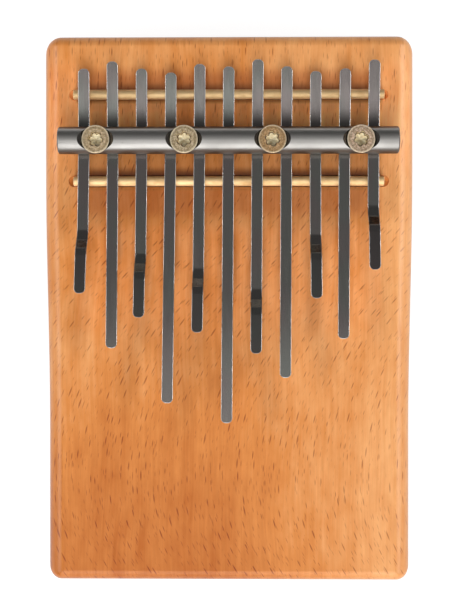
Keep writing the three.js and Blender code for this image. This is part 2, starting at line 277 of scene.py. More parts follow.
def box_outline(level, side_inset, end_inset):
    """The outline of the box at a height, drawn in from its sides and ends, as a ring of edges."""
    bpy.ops.mesh.primitive_plane_add(size=1, location=(0, 0, level))
    ring = bpy.context.object
    edit(ring)
    bpy.ops.mesh.select_all(action="SELECT")
    size = (rear_width - 2 * side_inset, box_length - 2 * end_inset, 1)
    bpy.ops.transform.resize(value=size, center_override=(0, 0, level))
    bpy.ops.mesh.delete(type="ONLY_FACE")
    for side, radius in ((1, rear_corner_radius), (-1, front_corner_radius)):
        pick(ring, "verts", lambda vert: vert.co.y * side > size[1] / 2 - least_corner_radius / 2)
        rounded = max(radius - max(side_inset, end_inset), least_corner_radius)
        bpy.ops.mesh.bevel(offset=rounded, segments=corner_segments, affect="VERTICES")
    pick(ring, "edges", lambda edge: abs(edge_run(edge).y) > box_length / 2)
    bpy.ops.mesh.subdivide(number_cuts=side_cuts)
    grip_y = box_length / 2 - taper_end_from_rear
    pick(ring, "verts", lambda vert: vert.co.y < grip_y)
    bpy.ops.transform.resize(
        value=(grip_width / rear_width, 1, 1),
        center_override=(0, 0, level),
        use_proportional_edit=True,
        proportional_edit_falloff="SMOOTH",
        proportional_size=taper_end_from_rear - taper_start_from_rear,
    )
    done()
    return ring


def bridged(rings):
    """Join rings of edges in their order, skin them over and close both ends."""
    deselect()
    for ring in rings:
        ring.select_set(True)
    bpy.context.view_layer.objects.active = rings[0]
    bpy.ops.object.join()
    piece = bpy.context.object
    bpy.ops.object.transform_apply(location=True, rotation=True, scale=True)
    edit(piece)
    bpy.ops.mesh.select_mode(type="EDGE")
    bpy.ops.mesh.select_all(action="SELECT")
    bpy.ops.mesh.bridge_edge_loops()
    shape = bmesh.from_edit_mesh(piece.data)
    levels = [vert.co.z for vert in shape.verts]
    for end in (min(levels), max(levels)):
        pick(piece, "edges", lambda edge: edge.is_boundary and abs(edge_middle(edge).z - end) < seam_chamfer / 10)
        bpy.ops.mesh.edge_face_add()
    bpy.ops.mesh.select_all(action="SELECT")
    bpy.ops.mesh.normals_make_consistent(inside=False)
    done()
    return piece


def cut(piece, cutter):
    """Take one shape out of another and remove the cutter."""
    deselect()
    piece.select_set(True)
    bpy.context.view_layer.objects.active = piece
    change = piece.modifiers.new("cut", "BOOLEAN")
    change.operation = "DIFFERENCE"
    change.solver = "EXACT"
    change.object = cutter
    bpy.ops.object.modifier_apply(modifier=change.name)
    bpy.data.objects.remove(cutter)


def roundover_inset(width, depth, edge=0.0):
    """How far a roundover is drawn in at a depth, if it meets the face at an angle."""
    radius = width / (1 - math.sin(edge))
    rise = max(radius * math.cos(edge) - depth, 0)
    return radius - math.sqrt(radius * radius - rise * rise)


def rounded_rod(place, radius, length):
    """A bar along X with ball ends, to cut a groove that a round cutter leaves."""
    bpy.ops.mesh.primitive_cylinder_add(
        vertices=48, radius=radius, depth=length, location=place, rotation=(0, math.pi / 2, 0)
    )
    rod = bpy.context.object
    bpy.ops.object.transform_apply(location=True, rotation=True, scale=True)
    edit(rod)
    pick(rod, "edges", lambda edge: abs(edge_run(edge).x) < radius / 10)
    bpy.ops.mesh.bevel(offset=radius * 0.98, segments=8, affect="EDGES")
    done()
    return rod


outlines = [box_outline(body_low.z, seam_chamfer, seam_chamfer)]
outlines.append(box_outline(body_low.z + seam_chamfer, 0, 0))
round_radius = face_side_roundover / (1 - math.sin(face_edge))
for step in range(roundover_steps + 1):
    depth = round_radius * (math.cos(face_edge) - math.sin((math.pi / 2 - face_edge) * step / roundover_steps))
    side_inset = roundover_inset(face_side_roundover, depth, face_edge)
    end_inset = roundover_inset(face_end_roundover, depth, face_edge)
    outlines.append(box_outline(body_high.z - depth, side_inset, end_inset))
body = bridged(outlines)
body.name = "sound_box_shell"

groove_end_room = 0.0016
seat_gap = 0.0003
groove_middles = []
rod_half_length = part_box("front_bridge_rod")[1].x
for rod_node in ("front_bridge_rod", "rear_bridge_rod"):
    low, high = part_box(rod_node)
    middle = (low + high) / 2
    groove_middles.append(middle.y)
    radius = (high.y - low.y) / 2 + seat_gap
    cut(body, rounded_rod(middle, radius, high.x - low.x + 2 * groove_end_room))

# The chamber and the pilot holes of the four screws, cut from behind and from the face.
chamber_side_wall = 0.010
chamber_front_wall = 0.011
bridge_block_length = 0.0576
chamber_corner_radius = 0.012
soundboard_thickness = 0.006
chamber_ceiling_radius = 0.0015
cut_overrun = 0.001
screw_nodes = ["bar_screw_1", "bar_screw_2", "bar_screw_3", "bar_screw_4"]
screw_shank_radius = 0.00225

chamber_front_y = body_low.y + chamber_front_wall
chamber_low = Vector((chamber_side_wall - grip_width / 2, chamber_front_y, body_low.z - cut_overrun))
chamber_high = Vector((-chamber_low.x, body_high.y - bridge_block_length, body_high.z - soundboard_thickness))
bpy.ops.mesh.primitive_cube_add(size=1, location=(chamber_low + chamber_high) / 2)
chamber = bpy.context.object
chamber.scale = chamber_high - chamber_low
deselect()
chamber.select_set(True)
bpy.ops.object.transform_apply(location=True, rotation=True, scale=True)
edit(chamber)
pick(chamber, "edges", lambda edge: abs(edge_run(edge).z) > chamber_corner_radius)
bpy.ops.mesh.bevel(offset=chamber_corner_radius, segments=12, affect="EDGES")
pick(chamber, "edges", lambda edge: min(vert.co.z for vert in edge.verts) > chamber_high.z - cut_overrun)
bpy.ops.mesh.bevel(offset=chamber_ceiling_radius, segments=4, affect="EDGES")
done()
cut(body, chamber)

for screw_node in screw_nodes:
    low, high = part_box(screw_node)
    middle = (low + high) / 2
    bpy.ops.mesh.primitive_cylinder_add(
        vertices=32,
        radius=screw_shank_radius + seat_gap,
        depth=body_high.z + cut_overrun - low.z,
        location=(middle.x, middle.y, (body_high.z + cut_overrun + low.z) / 2),
    )
    cut(body, bpy.context.object)


def paint(red, green, blue):
    """A colour given as it looks on a screen, from 0 to 255, as the light that it sends back."""
    shares = [value / 255 for value in (red, green, blue)]
    return (*[((share + 0.055) / 1.055) ** 2.4 if share > 0.04045 else share / 12.92 for share in shares], 1)


def sum_of(tree, operation, first, second):
    return shader_node(tree, "ShaderNodeMath", {0: first, 1: second}, operation=operation).outputs[0]


def vector_of(tree, operation, first, second):
    return shader_node(tree, "ShaderNodeVectorMath", {0: first, 1: second}, operation=operation).outputs[0]


def mixed(tree, factor, first, second, blend="MIX"):
    made = shader_node(
        tree, "ShaderNodeMix", {0: factor, 6: first, 7: second}, data_type="RGBA", blend_type=blend
    )
    return made.outputs[2]


def ramp_of(tree, value, low, high, low_out=0.0, high_out=1.0, smooth=True):
    made = shader_node(
        tree,
        "ShaderNodeMapRange",
        {"Value": value, "From Min": low, "From Max": high, "To Min": low_out, "To Max": high_out},
        interpolation_type="SMOOTHSTEP" if smooth else "LINEAR",
    )
    return made.outputs[0]


def noise_of(tree, place, grain_size, detail=2.0):
    """Cloudy noise between 0 and 1, as coarse along each direction as the grain size says."""
    stretched = vector_of(tree, "DIVIDE", place, grain_size)
    made = shader_node(tree, "ShaderNodeTexNoise", {"Vector": stretched, "Scale": 1.0, "Detail": detail})
    return made.outputs[0]


def fleck_lean(tree, place):
    """How far the flecks lean from the grain: they sway over along the box, and back at its end."""
    lengthwise = shader_node(tree, "ShaderNodeSeparateXYZ", {0: place}).outputs["Y"]
    along = ramp_of(tree, lengthwise, body_low.y, body_high.y, smooth=False)
    curve = tree.nodes.new("ShaderNodeFloatCurve")
    tree.links.new(along, curve.inputs["Value"])
    line = curve.mapping.curves[0]
    line.points[0].location = (0, 0.02)
    line.points[1].location = (1, 0.42)
    for at, lean in ((0.07, 0.14), (0.2, 0.44), (0.42, 0.78), (0.58, 0.96), (0.72, 0.72), (0.85, 0.5)):
        line.points.new(at, lean)
    curve.mapping.update()
    return ramp_of(tree, curve.outputs[0], 0, 1, math.radians(-34), math.radians(46), smooth=False)


def flecks_of(tree, place, shift, cell, fleck, share):
    """Ray flecks: 1 in the middle of a fleck and 0 between them. Each lies in a cell of its own."""
    moved = vector_of(tree, "ADD", place, shift)
    cells = shader_node(
        tree,
        "ShaderNodeTexVoronoi",
        {"Vector": vector_of(tree, "DIVIDE", moved, cell), "Scale": 1.0, "Randomness": 0.85},
    )
    centre = vector_of(tree, "MULTIPLY", cells.outputs["Position"], cell)
    offset = vector_of(tree, "SUBTRACT", moved, centre)
    true_centre = vector_of(tree, "SUBTRACT", centre, shift)
    turned = shader_node(
        tree,
        "ShaderNodeVectorRotate",
        {"Vector": offset, "Angle": fleck_lean(tree, true_centre)},
        rotation_type="Z_AXIS",
    )
    chance = shader_node(tree, "ShaderNodeSeparateColor", {0: cells.outputs["Color"]})
    longer = ramp_of(tree, chance.outputs[1], 0, 1, 0.55, 1.2, smooth=False)
    size_of_fleck = shader_node(tree, "ShaderNodeVectorMath", {0: fleck, 3: longer}, operation="SCALE").outputs[0]
    scaled = vector_of(tree, "DIVIDE", turned.outputs[0], size_of_fleck)
    distance = shader_node(tree, "ShaderNodeVectorMath", {0: scaled}, operation="LENGTH").outputs["Value"]
    inside = ramp_of(tree, distance, 1.0, 0.3)
    kept = ramp_of(tree, chance.outputs[0], share - 0.02, share, 1, 0, smooth=False)
    darkness = ramp_of(tree, chance.outputs[2], 0, 1, 0.6, 1, smooth=False)
    return sum_of(tree, "MULTIPLY", sum_of(tree, "MULTIPLY", inside, kept), darkness)


# Painted shade: the wood in a strip behind each rod is darkened to stand for the shadow that the rod casts. No
# wood is paler than the palest beech, and the steep sides of the box are painted a shade darker than its face, as
# painted shade.
dark_strip_near = 0.0018
painted_rod_shadow_far = 0.0048
painted_rod_shadow_strength = 0.4
palest_beech = 0.92
painted_side_shade = 0.8
# Painted shade and painted light round the rods: shadows next to them and between the tines, and lighter bands
# further out. Each band tells its rod, the side of it (1 is behind), where it sets in and is full, where it starts
# to fade and is gone, and its tint.
painted_shade_and_light_round_rods = (
    (0, 1, (0.0012, 0.0018), (0.0022, 0.0052), (0.56, 0.43, 0.30, 1)),
    (0, -1, (0.0010, 0.0016), (0.0085, 0.0125), (0.87, 0.74, 0.66, 1)),
    (0, -1, (0.0010, 0.0014), (0.0018, 0.0034), (0.80, 0.88, 0.80, 1)),
    (1, 1, (0.0012, 0.0018), (0.0046, 0.0100), (0.74, 0.59, 0.52, 1)),
    (1, -1, (0.0010, 0.0014), (0.0018, 0.0031), (0.46, 0.42, 0.30, 1)),
    (1, -1, (0.0026, 0.0066), (0.0105, 0.0120), (1.36, 1.26, 1.22, 1)),
    (0, -1, (0.0115, 0.0165), (0.0350, 0.0550), (1.13, 1.10, 1.16, 1)),
)
# Painted light on the wood beside the tines, around the bar, outside the rods' reach.
painted_light_beside_tines = ((-0.030, -0.008), (0.004, 0.015), (1.22, 1.16, 1.22, 1))


def painted_band(tree, colour, away, sets_in, fades, within, painted_tint):
    """A colour multiplied by a tint in a band, as painted shade or painted light: away from where it sets in, up
    to where it fades.
    """
    band = sum_of(tree, "MULTIPLY", ramp_of(tree, away, *sets_in), ramp_of(tree, away, *fades, 1, 0))
    return mixed(tree, sum_of(tree, "MULTIPLY", band, within), colour, painted_tint, "MULTIPLY")


def emboss(tree, shader, strength, distance, relief):
    bump = shader_node(tree, "ShaderNodeBump", {"Strength": strength, "Distance": distance, "Height": relief})
    tree.links.new(bump.outputs[0], shader.inputs["Normal"])


def beech(name, pale, warm, deep, shift):
    """Oiled beech: broad bands and fine streaks along the grain, and short dark ray flecks. It is paler and
    plainer towards one edge, deeper towards the lower left, and carries painted shade and painted light round the
    rods and painted shade on its steep sides."""
    material = bpy.data.materials.new(name)
    material.use_nodes = True
    tree = material.node_tree
    shader = tree.nodes["Principled BSDF"]
    shader.inputs["Specular IOR Level"].default_value = 0.15
    shader.inputs["Coat Weight"].default_value = 0.5
    shader.inputs["Coat Roughness"].default_value = 0.38
    shader.inputs["Specular Tint"].default_value = (1, 0.8, 0.6, 1)
    coordinates = shader_node(tree, "ShaderNodeTexCoord", {})
    here = coordinates.outputs["Object"]
    place = vector_of(tree, "ADD", here, shift)
    sway = noise_of(tree, place, (0.03, 0.05, 0.03), 1)
    sideways = sum_of(tree, "MULTIPLY", sum_of(tree, "SUBTRACT", sway, 0.5), 0.006)
    swayed = vector_of(
        tree, "ADD", place, shader_node(tree, "ShaderNodeCombineXYZ", {"X": sideways}).outputs[0]
    )
    patches = noise_of(tree, place, (0.03, 0.06, 0.03), 2)
    mottle = noise_of(tree, swayed, (0.0035, 0.008, 0.006), 3)
    bands = noise_of(tree, swayed, (0.005, 0.09, 0.012), 2)
    streaks = noise_of(tree, swayed, (0.0009, 0.03, 0.005), 3)
    fibres = noise_of(tree, swayed, (0.00035, 0.009, 0.002), 2)
    spread = shader_node(tree, "ShaderNodeVectorMath", {0: here, 1: (2.1, 0.8, 0)}, operation="DOT_PRODUCT")
    split = shader_node(tree, "ShaderNodeSeparateXYZ", {0: here})
    off_centre = shader_node(tree, "ShaderNodeMath", {0: split.outputs["X"]}, operation="ABSOLUTE").outputs[0]
    towards_sides = ramp_of(tree, off_centre, 0, 0.058, -0.14, 0.06, smooth=False)
    heart_distance = shader_node(
        tree, "ShaderNodeVectorMath", {0: here, 1: (-0.045, -0.115, 0.03)}, operation="DISTANCE"
    )
    heart = ramp_of(tree, heart_distance.outputs["Value"], 0.03, 0.11, -0.24, 0.2)
    tone = sum_of(tree, "ADD", sum_of(tree, "ADD", spread.outputs["Value"], heart), towards_sides)
    for cloud, strength in ((patches, 0.65), (mottle, 0.5), (bands, 0.4), (streaks, 0.4)):
        centred = sum_of(tree, "SUBTRACT", cloud, 0.5)
        tone = sum_of(tree, "ADD", tone, sum_of(tree, "MULTIPLY", centred, strength))
    tone = sum_of(tree, "ADD", tone, 0.5)
    ground = mixed(tree, ramp_of(tree, tone, 0, 0.5, smooth=False), deep, warm)
    ground = mixed(tree, ramp_of(tree, tone, 0.5, 1, smooth=False), ground, pale)
    fibre_shade = ramp_of(tree, fibres, 0.3, 0.7, 0.95, 1.03, smooth=False)
    grey = shader_node(tree, "ShaderNodeCombineColor", {0: fibre_shade, 1: fibre_shade, 2: fibre_shade}).outputs[0]
    ground = mixed(tree, 1.0, ground, grey, "MULTIPLY")
    large = flecks_of(tree, place, (0.011, 0.007, 0.003), (0.0026, 0.0037, 0.012), (0.00026, 0.0019, 0.008), 0.9)
    small = flecks_of(tree, place, (0.031, 0.017, 0.009), (0.0018, 0.0028, 0.009), (0.00018, 0.0012, 0.006), 0.75)
    marks = sum_of(tree, "MAXIMUM", large, sum_of(tree, "MULTIPLY", small, 0.7))
    facing = shader_node(tree, "ShaderNodeSeparateXYZ", {0: coordinates.outputs["Normal"]})
    flatness = shader_node(tree, "ShaderNodeMath", {0: facing.outputs["Z"]}, operation="ABSOLUTE").outputs[0]
    marks = sum_of(tree, "MULTIPLY", marks, ramp_of(tree, flatness, 0.2, 0.8, 0.35, 1))
    plainer = ramp_of(tree, tone, 0.2, 1.1, 1, 0.45, smooth=False)
    colour = mixed(tree, sum_of(tree, "MULTIPLY", marks, plainer), ground, paint(140, 56, 0))
    beside_rods = ramp_of(tree, off_centre, rod_half_length - dark_strip_near, rod_half_length, 1, 0)
    on_face = ramp_of(tree, split.outputs["Z"], body_high.z - 2 * dark_strip_near, body_high.z - dark_strip_near)
    beside_rods = sum_of(tree, "MULTIPLY", beside_rods, on_face)
    # Painted shadow of each rod: a dark strip on the wood just behind it.
    for rod_y in groove_middles:
        behind = sum_of(tree, "SUBTRACT", split.outputs["Y"], rod_y)
        rising = ramp_of(tree, behind, 0, dark_strip_near, smooth=False)
        falling = ramp_of(tree, behind, dark_strip_near, painted_rod_shadow_far, 1, 0)
        strip = sum_of(tree, "MULTIPLY", sum_of(tree, "MULTIPLY", rising, falling), beside_rods)
        colour = mixed(tree, sum_of(tree, "MULTIPLY", strip, painted_rod_shadow_strength), colour, paint(70, 30, 6))
    # Painted shade and painted light round the rods, as bands of tint.
    for rod_number, way, sets_in, fades, painted_tint in painted_shade_and_light_round_rods:
        behind = sum_of(tree, "SUBTRACT", split.outputs["Y"], groove_middles[rod_number])
        away = sum_of(tree, "MULTIPLY", behind, way)
        colour = painted_band(tree, colour, away, sets_in, fades, beside_rods, painted_tint)
    # Painted light beside the tines.
    margin = sum_of(tree, "SUBTRACT", on_face, beside_rods)
    sets_in, fades, painted_tint = painted_light_beside_tines
    behind = sum_of(tree, "SUBTRACT", split.outputs["Y"], groove_middles[1])
    colour = painted_band(tree, colour, behind, sets_in, fades, margin, painted_tint)
    colour = vector_of(tree, "MINIMUM", colour, (palest_beech, palest_beech, palest_beech))
    # Painted shade: steep faces, the sides and the outer roundovers, are darkened.
    painted_steep_shade = ramp_of(tree, flatness, 0, 0.7, painted_side_shade, 1)
    colour = shader_node(tree, "ShaderNodeVectorMath", {0: colour, 3: painted_steep_shade}, operation="SCALE").outputs[0]
    tree.links.new(colour, shader.inputs["Base Color"])
    gloss = ramp_of(tree, streaks, 0.2, 0.8, 0.34, 0.44, smooth=False)
    tree.links.new(gloss, shader.inputs["Roughness"])
    relief = sum_of(tree, "SUBTRACT", sum_of(tree, "MULTIPLY", fibres, 0.25), marks)
    emboss(tree, shader, 0.25, 0.00004, relief)
    return material


def smooth(piece, degrees):
    """Shade a piece smooth, apart from edges sharper than the angle, and keep its flat faces flat."""
    deselect()
    piece.select_set(True)
    bpy.context.view_layer.objects.active = piece
    bpy.ops.object.shade_smooth_by_angle(angle=math.radians(degrees))
    change = piece.modifiers.new("flat_faces", "WEIGHTED_NORMAL")
    change.keep_sharp = True
    bpy.ops.object.modifier_apply(modifier=change.name)


body.data.materials.clear()
body.data.materials.append(
    beech("oiled_beech", paint(238, 170, 108), paint(214, 132, 61), paint(182, 95, 20), (0, 0, 0))
)
smooth(body, 32)
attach(body, "sound_box")
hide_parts("sound_box_body")


# Back plate: a thin beech board glued on behind, its outer edge rounded, with two finger holes that
# let the player open and close the chamber for a wavering tone.
plate_low, plate_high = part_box("back_plate")
back_roundover = 0.003
finger_hole_radius = 0.006
finger_hole_x = 0.028
finger_hole_from_front = 0.06465
finger_hole_rim = 0.0015
inner_rim = 0.0004

outlines = []
for step in range(roundover_steps + 1):
    depth = back_roundover * (1 - math.cos(math.pi / 2 * step / roundover_steps))
    inset = roundover_inset(back_roundover, depth)
    outlines.append(box_outline(plate_low.z + depth, inset, inset))
outlines.append(box_outline(plate_high.z - seam_chamfer, 0, 0))
outlines.append(box_outline(plate_high.z, seam_chamfer, seam_chamfer))
plate = bridged(outlines)
plate.name = "back_board"
hole_y = plate_low.y + finger_hole_from_front
for side in (-1, 1):
    hole_axis = Vector((side * finger_hole_x, hole_y, 0))
    bpy.ops.mesh.primitive_cylinder_add(
        vertices=64,
        radius=finger_hole_radius,
        depth=plate_high.z - plate_low.z + 2 * cut_overrun,
        location=(hole_axis.x, hole_axis.y, (plate_low.z + plate_high.z) / 2),
    )
    cut(plate, bpy.context.object)
    for rim_z, rim in ((plate_low.z, finger_hole_rim), (plate_high.z, inner_rim)):
        edit(plate)

        def on_rim(edge):
            return all(
                abs(vert.co.z - rim_z) < inner_rim / 10
                and abs((vert.co.xy - hole_axis.xy).length - finger_hole_radius) < inner_rim / 4
                for vert in edge.verts
            )

        pick(plate, "edges", on_rim)
        bpy.ops.mesh.bevel(offset=rim, segments=6, affect="EDGES")
        done()
plate.data.materials.clear()
plate.data.materials.append(
    beech("oiled_beech_back", paint(228, 158, 104), paint(212, 137, 83), paint(190, 112, 60), (0.31, 0.17, 0.05))
)
smooth(plate, 32)
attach(plate, "sound_box")
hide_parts("back_plate")


# Bridge rods: two lengths of drawn brass laid in the grooves, their ends broken with a file. The
# tines press them down, so nothing else holds them.
rod_end_break = 0.0003


def metal(name, stretch=0.0, turn=0.0):
    """A metal finish with its nodes, its shader and the place on it. On a round bar along X, its
    highlight is stretched round it, or turned to run along it."""
    material = bpy.data.materials.new(name)
    material.use_nodes = True
    tree = material.node_tree
    shader = tree.nodes["Principled BSDF"]
    shader.inputs["Metallic"].default_value = 1
    if stretch:
        round_the_bar = shader_node(tree, "ShaderNodeTangent", {}, direction_type="RADIAL", axis="X")
        tree.links.new(round_the_bar.outputs[0], shader.inputs["Tangent"])
        shader.inputs["Anisotropic"].default_value = stretch
        shader.inputs["Anisotropic Rotation"].default_value = turn
    return material, tree, shader, shader_node(tree, "ShaderNodeTexCoord", {}).outputs["Object"]


def bar_along_x(node, name, sides, end_break, break_steps):
    """A round bar that fills a node's box, its two ends chamfered or rounded."""
    low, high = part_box(node)
    bpy.ops.mesh.primitive_cylinder_add(
        vertices=sides,
        radius=(high.z - low.z) / 2,
        depth=high.x - low.x,
        location=(low + high) / 2,
        rotation=(0, math.pi / 2, 0),
    )
    bar = bpy.context.object
    bar.name = name
    bpy.ops.object.transform_apply(location=True, rotation=True, scale=True)
    edit(bar)
    pick(bar, "edges", lambda edge: abs(edge_run(edge).x) < end_break)
    bpy.ops.mesh.bevel(offset=end_break, segments=break_steps, affect="EDGES")
    done()
    return bar


brass, tree, shader, place = metal("drawn_brass", 0.6)
tarnish = noise_of(tree, place, (0.004, 0.002, 0.002), 4)
drawn = noise_of(tree, place, (0.006, 0.0002, 0.0002), 2)
colour = mixed(
    tree, ramp_of(tree, tarnish, 0.45, 0.75, 0, 0.4), paint(246, 212, 160), paint(206, 158, 98)
)
tree.links.new(colour, shader.inputs["Base Color"])
tree.links.new(ramp_of(tree, tarnish, 0.3, 0.7, 0.54, 0.66), shader.inputs["Roughness"])
emboss(tree, shader, 0.2, 0.00001, drawn)

for rod_node in ("front_bridge_rod", "rear_bridge_rod"):
    rod = bar_along_x(rod_node, rod_node.replace("bridge_rod", "brass_rod"), 64, rod_end_break, 2)
    rod.data.materials.append(brass)
    smooth(rod, 30)
    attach(rod, "sound_box")
    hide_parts(rod_node)


# Pressure bar: a ground steel bar across all the tines. It is drilled for four screws between the
# tines and countersunk deep enough for their heads to sit just under its crown.
bar_low, bar_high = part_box("pressure_bar")
bar_middle = (bar_low + bar_high) / 2
bar_radius = (bar_high.z - bar_low.z) / 2
bar_end_break = 0.0006
screw_head_radius = 0.0043
screw_head_sink = 0.00085
cone_gap = seat_gap * math.sqrt(2)
painted_flank_shade_top = 0.0022
painted_flank_shade_gone_at = 0.0034

bar = bar_along_x("pressure_bar", "clamp_bar", 128, bar_end_break, 3)
for screw_node in screw_nodes:
    low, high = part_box(screw_node)
    axis = (low + high) / 2
    hole_radius = screw_shank_radius + seat_gap
    mouth_z = bar_high.z + cut_overrun
    mouth_radius = screw_head_radius + cone_gap + screw_head_sink + cut_overrun
    cone_depth = mouth_radius - hole_radius
    bpy.ops.mesh.primitive_cone_add(
        vertices=96,
        radius1=hole_radius,
        radius2=mouth_radius,
        depth=cone_depth,
        location=(axis.x, axis.y, mouth_z - cone_depth / 2),
    )
    cone = bpy.context.object
    edit(cone)
    pick(cone, "faces", lambda face: face.normal.z < -0.9)
    bpy.ops.mesh.extrude_region_move(TRANSFORM_OT_translate={"value": (0, 0, -2 * bar_radius)})
    done()
    bpy.ops.object.transform_apply(location=True, rotation=True, scale=True)
    cut(bar, cone)

steel, tree, shader, place = metal("ground_steel", 0.65, 0.25)
cloud = noise_of(tree, place, (0.012, 0.006, 0.006), 3)
pits = noise_of(tree, place, (0.0005, 0.0004, 0.0004), 2)
colour = mixed(tree, ramp_of(tree, cloud, 0.3, 0.7), paint(170, 167, 163), paint(158, 155, 151))
colour = mixed(tree, ramp_of(tree, pits, 0.66, 0.78, 0, 0.5), colour, paint(118, 115, 112))
height = shader_node(tree, "ShaderNodeSeparateXYZ", {0: place}).outputs["Z"]
# Painted shade: the steel on both flanks, below the crown, is darker than the crown.
painted_flank_shade = ramp_of(tree, height, bar_middle.z + painted_flank_shade_top, bar_middle.z + painted_flank_shade_gone_at, 1, 0)
colour = mixed(tree, painted_flank_shade, colour, paint(108, 103, 98))
tree.links.new(colour, shader.inputs["Base Color"])
tree.links.new(ramp_of(tree, cloud, 0.3, 0.7, 0.4, 0.45), shader.inputs["Roughness"])
emboss(tree, shader, 0.15, 0.00002, pits)

# Painted shade: a darker steel in the countersinks and on the underside of the bar.
dark_steel, tree, shader, place = metal("painted_shade_steel")
rings = noise_of(tree, place, (0.004, 0.004, 0.00012), 2)
colour = mixed(tree, ramp_of(tree, rings, 0.3, 0.7), paint(62, 59, 56), paint(84, 80, 76))
tree.links.new(colour, shader.inputs["Base Color"])
tree.links.new(ramp_of(tree, rings, 0.3, 0.7, 0.18, 0.26), shader.inputs["Roughness"])

bar.data.materials.append(steel)
bar.data.materials.append(dark_steel)
edit(bar)


def in_painted_shade(face):
    """The faces of the holes and the underside of the bar, given a darker steel as painted shade."""
    across = (face.calc_center_median() - bar_middle).yz
    in_hole = abs(face.normal.x) < 0.9 and abs(across.length - bar_radius) > seat_gap / 3
    return in_hole or face.normal.z < -0.04


pick(bar, "faces", in_painted_shade)
bar.active_material_index = 1
bpy.ops.object.material_slot_assign()
done()
smooth(bar, 28)
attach(bar, "sound_box")
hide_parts("pressure_bar")


# Bar screws: four countersunk wood screws, yellow zinc plated, with a six-lobed socket. They draw
# the bar down on the tines, and the tines down on the rods.
screw_head_rim = 0.0003
socket_radius = 0.0023
socket_lobe_depth = 0.00058
socket_valley_sharpness = 1.9
socket_depth = 0.002
socket_cone_depth = 0.0004
socket_mouth_break = 0.00012
socket_outline_share = 0.87
socket_tip_share = 0.04
screw_point_length = 0.005
circle_steps = 72
screw_finishes = (
    (8, paint(228, 206, 172), paint(194, 168, 128)),
    (31, paint(224, 206, 174), paint(190, 168, 130)),
    (17, paint(218, 182, 138), paint(182, 142, 94)),
    (44, paint(232, 208, 184), paint(202, 172, 142)),
)

screw_low, screw_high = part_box("bar_screw_1")
screw_middle = (screw_low + screw_high) / 2
top_z = screw_high.z
neck_z = top_z - screw_head_rim - (screw_head_radius - screw_shank_radius)
point_z = screw_low.z + screw_point_length
screw_profile = [
    (screw_head_radius - screw_head_rim / 2, top_z),
    (screw_head_radius, top_z - screw_head_rim / 2),
    (screw_head_radius, top_z - screw_head_rim),
    (screw_shank_radius, neck_z),
    (screw_shank_radius, point_z),
    (screw_shank_radius / 12, screw_low.z),
]
bpy.ops.mesh.primitive_circle_add(
    vertices=circle_steps,
    radius=screw_profile[0][0],
    fill_type="NGON",
    location=(screw_middle.x, screw_middle.y, top_z),
)
blank_screw = bpy.context.object
bpy.ops.object.transform_apply(location=True, rotation=True, scale=True)
edit(blank_screw)
bpy.ops.mesh.select_all(action="SELECT")
for (radius, level), (next_radius, next_level) in zip(screw_profile, screw_profile[1:]):
    bpy.ops.mesh.extrude_region_move(TRANSFORM_OT_translate={"value": (0, 0, next_level - level)})
    bpy.ops.transform.resize(
        value=(next_radius / radius, next_radius / radius, 1),
        center_override=(screw_middle.x, screw_middle.y, next_level),
    )
bpy.ops.mesh.select_all(action="SELECT")
bpy.ops.mesh.normals_make_consistent(inside=False)
done()

bpy.ops.mesh.primitive_circle_add(
    vertices=circle_steps, radius=socket_radius, fill_type="NGON",
    location=(screw_middle.x, screw_middle.y, top_z + cut_overrun),
)
socket = bpy.context.object
bpy.ops.object.transform_apply(location=True, rotation=True, scale=True)
edit(socket)
steps_per_lobe = circle_steps // 6
for step in range(1, steps_per_lobe // 2 + 1):

    def beside_lobe(vert):
        out = vert.co.xy - screw_middle.xy
        place = round(math.atan2(out.y, out.x) / (2 * math.pi) * circle_steps) % steps_per_lobe
        return place in (step, steps_per_lobe - step)

    pick(socket, "verts", beside_lobe)
    towards_valley = (1 - math.cos(2 * math.pi * step / steps_per_lobe)) / 2
    drawn_in = 1 - socket_lobe_depth / socket_radius * towards_valley ** socket_valley_sharpness
    bpy.ops.transform.resize(
        value=(drawn_in, drawn_in, 1), center_override=(screw_middle.x, screw_middle.y, top_z + cut_overrun)
    )
bpy.ops.mesh.select_mode(type="FACE")
bpy.ops.mesh.select_all(action="SELECT")
wall_end_z = top_z - socket_depth + socket_cone_depth
bpy.ops.mesh.extrude_region_move(TRANSFORM_OT_translate={"value": (0, 0, wall_end_z - top_z - cut_overrun)})
for shrink, deeper in ((socket_outline_share, socket_cone_depth / 20), (socket_tip_share, socket_cone_depth)):
    bpy.ops.mesh.extrude_region_move(TRANSFORM_OT_translate={"value": (0, 0, -deeper)})
    bpy.ops.transform.resize(
        value=(shrink, shrink, 1), center_override=(screw_middle.x, screw_middle.y, wall_end_z)
    )
bpy.ops.mesh.select_all(action="SELECT")
bpy.ops.mesh.normals_make_consistent(inside=False)
done()
cut(blank_screw, socket)


def inside_socket(part, axis, from_radius=-1):
    """Whether a part of a screw lies in its socket, and outside a radius if one is given."""
    return all(from_radius < (vert.co.xy - axis.xy).length < socket_radius + seat_gap for vert in part.verts)


edit(blank_screw)
pick(
    blank_screw,
    "edges",
    lambda edge: inside_socket(edge, screw_middle) and edge_middle(edge).z > top_z - seam_chamfer / 10,
)
bpy.ops.mesh.bevel(offset=socket_mouth_break, segments=3, affect="EDGES")
done()


